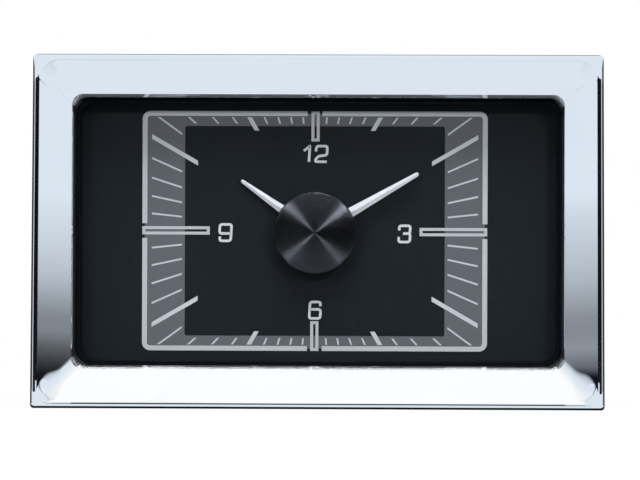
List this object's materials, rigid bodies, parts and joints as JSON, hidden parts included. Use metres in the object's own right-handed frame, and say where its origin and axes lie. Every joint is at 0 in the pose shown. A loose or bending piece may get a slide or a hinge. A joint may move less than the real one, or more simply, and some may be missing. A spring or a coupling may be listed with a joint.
{
  "type": "dashboard clock",
  "caption": "Rectangular dashboard clock with a sloping chromed bezel, flat lens, black dial with a square track, hands under a turned hub cap and a geared quartz movement.",
  "frame": {"origin": "centre of the mounting studs in the plane of the bezel's rear seat", "axes": "+X to 3 o'clock, +Y out of the back into the dashboard, +Z to 12 o'clock; the dial faces -Y"},
  "size_m": [0.1338, 0.0606, 0.0826],
  "materials": {
    "chrome": "bright chromium plating on a die casting",
    "stud_steel": "plated steel",
    "gasket_rubber": "matt black rubber",
    "clear_lens": "clear, polished",
    "spacer_black": "matt black moulding",
    "dial_black": "matt black print with grey markings",
    "light_guide": "clear to milky moulding",
    "board_green": "green solder mask",
    "diode_white": "pale resin",
    "carrier_grey": "grey moulding",
    "screw_steel": "zinc plated steel",
    "housing_black": "fine grained black moulding",
    "cover_black": "fine grained black moulding",
    "crystal_can": "drawn metal can",
    "chip_black": "moulded resin",
    "capacitor_can": "drawn aluminium can",
    "terminal_ivory": "natural moulding",
    "blade_brass": "tinned brass",
    "switch_black": "moulded switch",
    "button_grey": "grey moulding",
    "plate_brass": "brushed brass sheet",
    "turned_brass": "turned brass",
    "wheel_brass": "polished brass",
    "arbor_steel": "ground steel",
    "stator_iron": "annealed soft iron",
    "magnet_grey": "sintered magnet",
    "bobbin_ivory": "natural moulding",
    "coil_copper": "enamelled copper wire",
    "hand_silver": "silver, ground in two facets",
    "hub_black": "black anodised, turned"
  },
  "bodies": {
    "clock_case": {"bezel": "chrome", "mounting_studs": "stud_steel", "lens_gasket": "gasket_rubber", "lens": "clear_lens", "lens_spacer": "spacer_black", "dial_plate": "dial_black", "light_guide": "light_guide", "backlight_boards": "board_green", "backlight_leds": "diode_white", "dial_carrier": "carrier_grey", "carrier_screws": "screw_steel", "housing": "housing_black", "housing_screws": "screw_steel", "rear_cover": "cover_black", "cover_screws": "screw_steel", "circuit_board": "board_green", "board_screws": "screw_steel", "quartz_crystal": "crystal_can", "driver_chip": "chip_black", "capacitors": "capacitor_can", "terminal_block": "terminal_ivory", "terminal_blades": "blade_brass", "set_switches": "switch_black", "movement_front_plate": "plate_brass", "movement_rear_plate": "plate_brass", "movement_pillars": "turned_brass", "movement_screws": "screw_steel", "pivot_bushes": "turned_brass", "minute_wheel_post": "arbor_steel", "stator": "stator_iron", "stator_posts": "turned_brass", "stator_screws": "screw_steel", "coil_core": "stator_iron", "coil_bobbin": "bobbin_ivory", "coil_winding": "coil_copper"},
    "minute_hand_arbor": {"minute_hand": "hand_silver", "hub_cap": "hub_black", "centre_arbor": "arbor_steel", "centre_wheel": "wheel_brass", "cannon_pinion": "arbor_steel"},
    "hour_hand_pipe": {"hour_hand": "hand_silver", "hour_wheel": "wheel_brass"},
    "minute_wheel_body": {"minute_wheel": "wheel_brass"},
    "intermediate_arbor": {"intermediate_wheel": "wheel_brass", "intermediate_pinion": "arbor_steel"},
    "rotor": {"rotor_magnet": "magnet_grey", "rotor_pinion": "arbor_steel"},
    "hour_button": {"set_button_hour": "button_grey"},
    "minute_button": {"set_button_minute": "button_grey"}
  },
  "joints": [
    {"name": "minute_hand_turn", "type": "hinge", "parent": "clock_case", "child": "minute_hand_arbor", "pos_m": [-0.0008, 0, -0.0002], "axis": [0, 1, 0], "continuous": true},
    {"name": "hour_hand_turn", "type": "hinge", "parent": "clock_case", "child": "hour_hand_pipe", "pos_m": [-0.0008, 0, -0.0002], "axis": [0, 1, 0], "continuous": true},
    {"name": "minute_wheel_turn", "type": "hinge", "parent": "clock_case", "child": "minute_wheel_body", "pos_m": [-0.0038, 0, 0.005], "axis": [0, 1, 0], "continuous": true},
    {"name": "intermediate_turn", "type": "hinge", "parent": "clock_case", "child": "intermediate_arbor", "pos_m": [0.00934, 0, 0.00252], "axis": [0, 1, 0], "continuous": true},
    {"name": "rotor_turn", "type": "hinge", "parent": "clock_case", "child": "rotor", "pos_m": [0.01474, 0, -0.00392], "axis": [0, 1, 0], "continuous": true},
    {"name": "hour_button_push", "type": "slide", "parent": "clock_case", "child": "hour_button", "axis": [0, -1, 0], "range_m": [0, 0.0006], "stiffness_N_per_m": 300, "springref_m": -0.001},
    {"name": "minute_button_push", "type": "slide", "parent": "clock_case", "child": "minute_button", "axis": [0, -1, 0], "range_m": [0, 0.0006], "stiffness_N_per_m": 300, "springref_m": -0.001}
  ],
  "couplings": [
    {"joint": "hour_hand_turn", "follows": "minute_hand_turn", "ratio": 0.083333},
    {"joint": "minute_wheel_turn", "follows": "minute_hand_turn", "ratio": -0.33333},
    {"joint": "intermediate_turn", "follows": "minute_hand_turn", "ratio": -6},
    {"joint": "rotor_turn", "follows": "minute_hand_turn", "ratio": 30}
  ]
}
